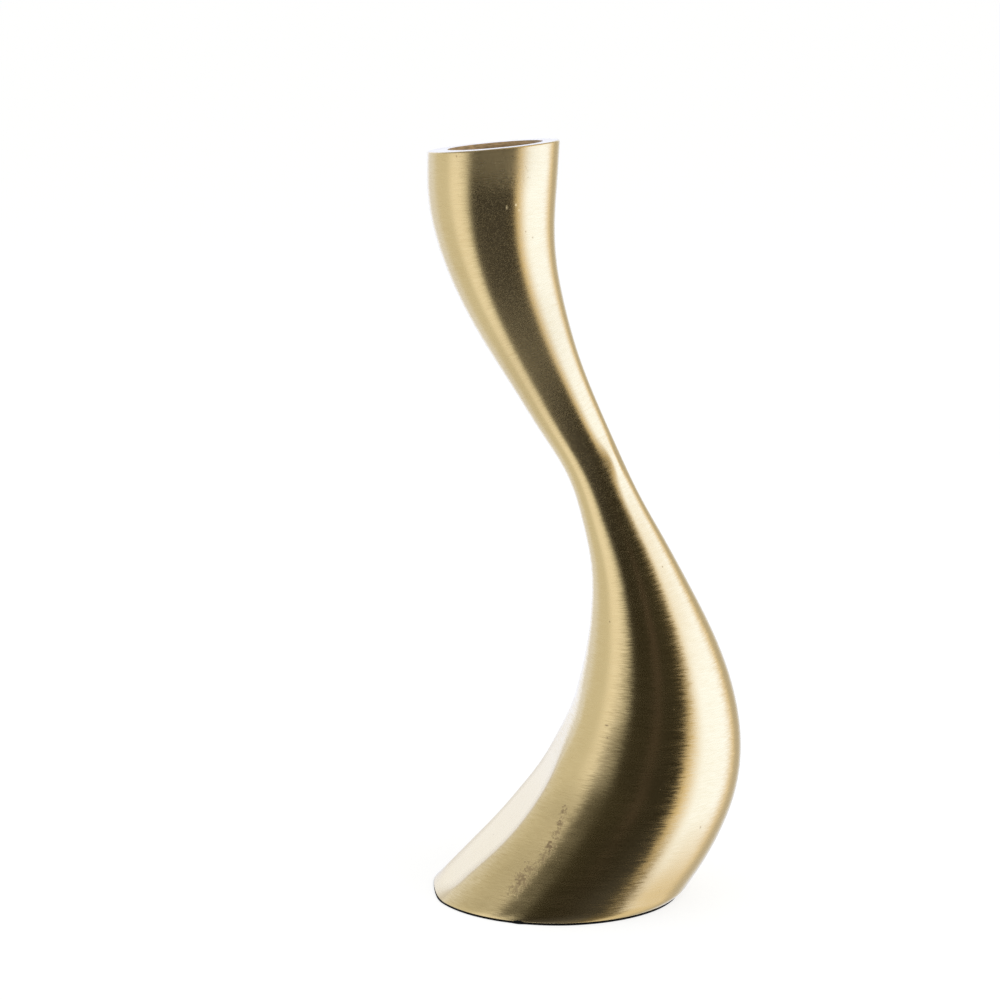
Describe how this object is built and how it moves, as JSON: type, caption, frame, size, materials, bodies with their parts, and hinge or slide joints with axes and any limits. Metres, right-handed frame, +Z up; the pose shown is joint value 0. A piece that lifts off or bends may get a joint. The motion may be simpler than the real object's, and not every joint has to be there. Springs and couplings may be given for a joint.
{
  "type": "candle holder",
  "caption": "Sculptural S-shaped candle holder in brushed pale brass, with a round foot, a slim leaning waist and a taper candle socket in its tilted rim.",
  "frame": {"origin": "middle of the round foot, on the table", "axes": "+Z up, +X towards the belly that swings out over the foot, so the rim leans towards -X and the pictured side faces -Y"},
  "size_m": [0.0831, 0.0674, 0.2],
  "materials": {
    "brass_body": "brushed round the body, clear lacquer",
    "plate_steel": "zinc plated sheet",
    "screw_steel": "zinc plated",
    "pad_felt": "pressed felt"
  },
  "bodies": {
    "root": {"body_casting": "brass_body", "base_plate": "plate_steel", "base_screws": "screw_steel", "felt_pad": "pad_felt"}
  },
  "joints": []
}
